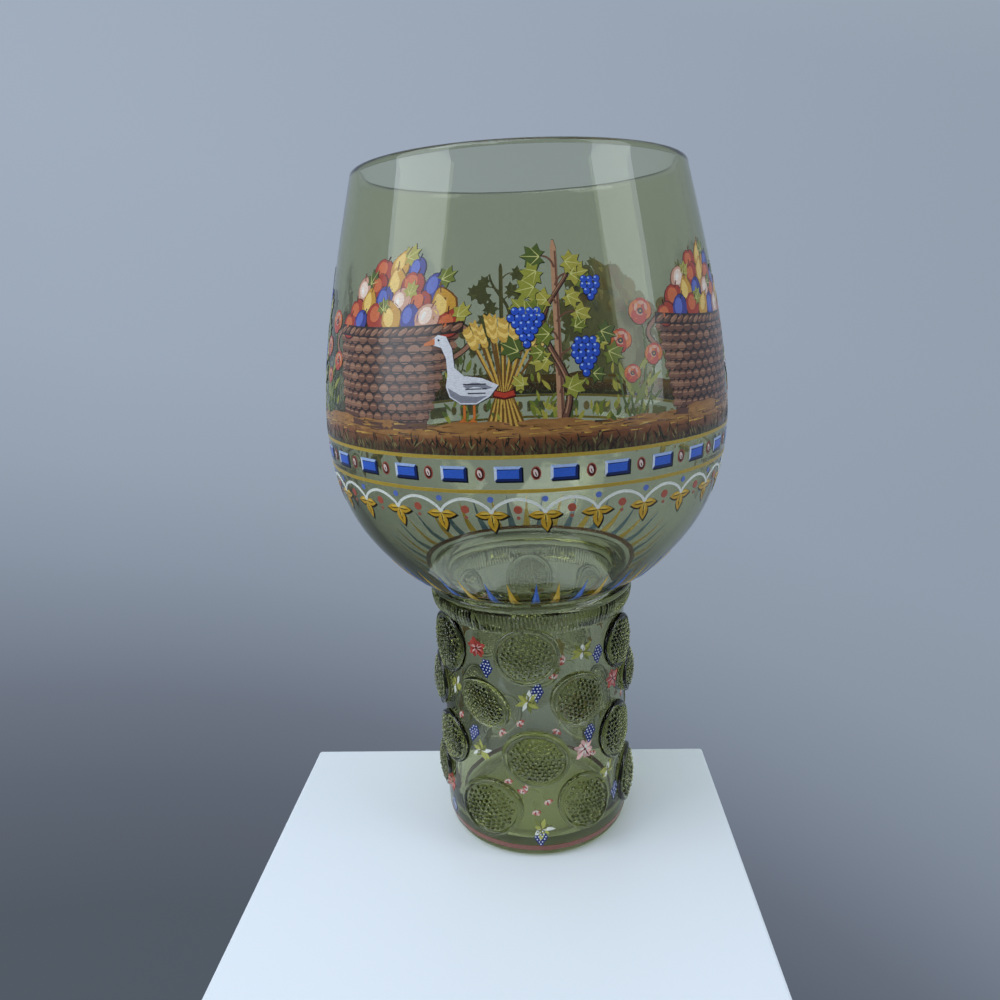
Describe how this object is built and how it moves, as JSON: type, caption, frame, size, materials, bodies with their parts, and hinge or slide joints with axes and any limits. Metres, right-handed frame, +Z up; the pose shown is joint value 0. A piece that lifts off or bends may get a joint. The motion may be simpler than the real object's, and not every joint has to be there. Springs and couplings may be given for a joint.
{
  "type": "goblet",
  "caption": "Roemer goblet: big rounded glass bowl on a wide hollow stem, with a milled collar and rows of applied raspberry prunts.",
  "frame": {"origin": "on the axis in the plane the foot edge rests on", "axes": "+Z up along the axis of the bowl and stem, -Y towards the front of the painting"},
  "size_m": [0.2042, 0.2042, 0.351],
  "materials": {
    "bowl_glass": "clear pale olive-green blown glass, fire-polished, with fired enamel painting",
    "stem_glass": "clear olive-green blown glass, fire-polished, with small enamel flowers",
    "thread_glass": "clear olive-green trailed glass, milled while hot",
    "prunt_glass": "clear olive-green glass stamped with nubs",
    "enamel": "fired enamel painting in blue, gold, white, brown, red and green: a glossy coat on the glass, drawn only in the visual model"
  },
  "bodies": {
    "root": {"bowl": "bowl_glass", "stem": "stem_glass", "neck_thread": "thread_glass", "milled_collar": "thread_glass", "prunt_1_1": "prunt_glass", "prunt_1_2": "prunt_glass", "prunt_1_3": "prunt_glass", "prunt_1_4": "prunt_glass", "prunt_1_5": "prunt_glass", "prunt_1_6": "prunt_glass", "prunt_2_1": "prunt_glass", "prunt_2_2": "prunt_glass", "prunt_2_3": "prunt_glass", "prunt_2_4": "prunt_glass", "prunt_2_5": "prunt_glass", "prunt_2_6": "prunt_glass", "prunt_3_1": "prunt_glass", "prunt_3_2": "prunt_glass", "prunt_3_3": "prunt_glass", "prunt_3_4": "prunt_glass", "prunt_3_5": "prunt_glass", "prunt_3_6": "prunt_glass", "prunt_4_1": "prunt_glass", "prunt_4_2": "prunt_glass", "prunt_4_3": "prunt_glass", "prunt_4_4": "prunt_glass", "prunt_4_5": "prunt_glass", "prunt_4_6": "prunt_glass"}
  },
  "joints": []
}
